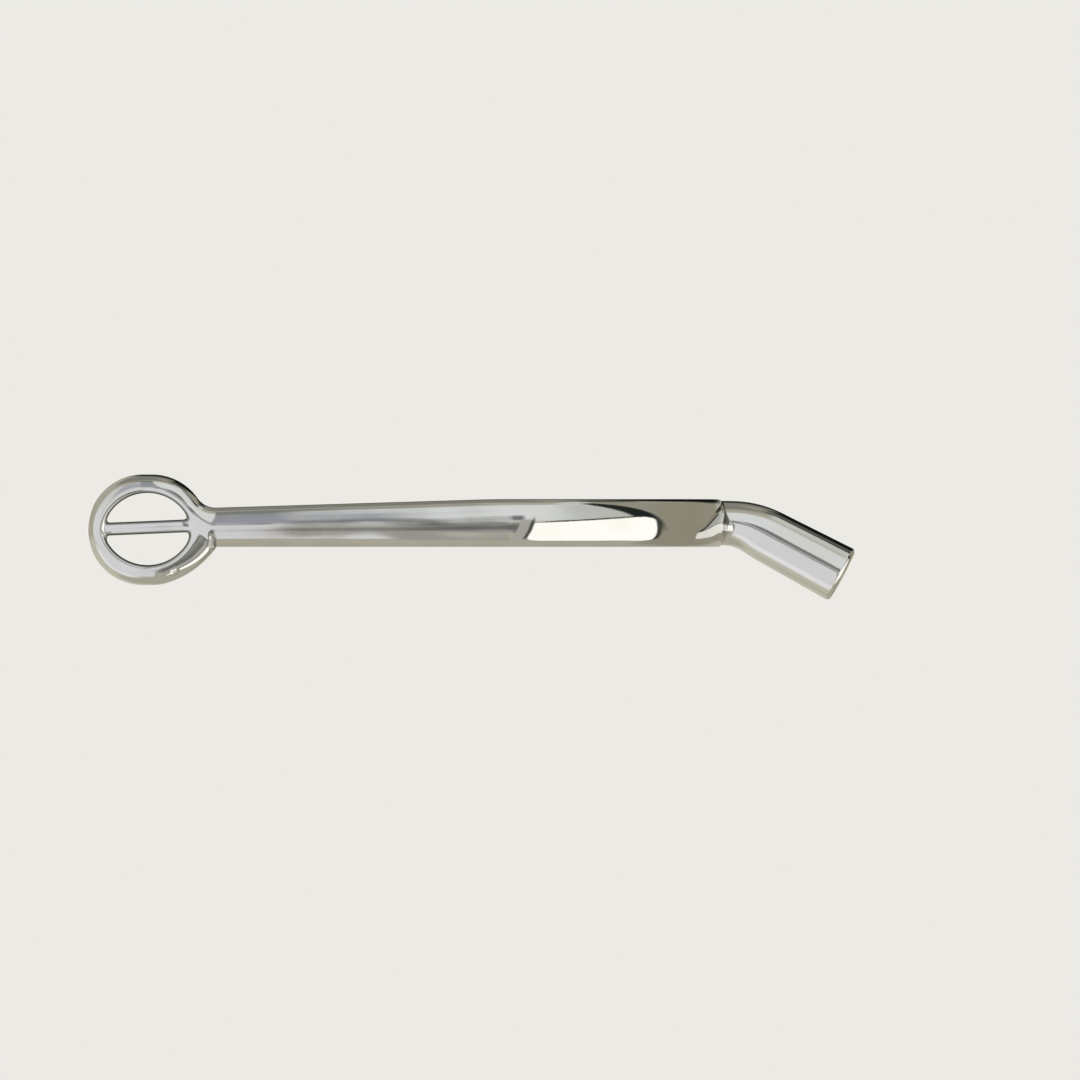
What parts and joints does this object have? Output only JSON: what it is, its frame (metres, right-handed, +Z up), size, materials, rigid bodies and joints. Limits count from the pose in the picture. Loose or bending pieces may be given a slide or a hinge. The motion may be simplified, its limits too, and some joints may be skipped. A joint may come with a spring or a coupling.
{
  "type": "English riding spur",
  "caption": "Polished steel riding spur: a heel band with a short drooping blunt neck and a barred strap loop at the end of each arm.",
  "frame": {"origin": "on the axis of the heel seat, the half-round inner face of the band, half way up the band at the heel", "axes": "worn position: +X back along the neck, the arms run forward to -X, +Z up, the wearer's left arm at -Y"},
  "size_m": [0.1395, 0.0784, 0.0227],
  "materials": {
    "polished_steel": "polished"
  },
  "bodies": {
    "root": {"heel_band": "polished_steel", "neck": "polished_steel", "left_loop": "polished_steel", "right_loop": "polished_steel", "left_cross_bar": "polished_steel", "right_cross_bar": "polished_steel"}
  },
  "joints": []
}
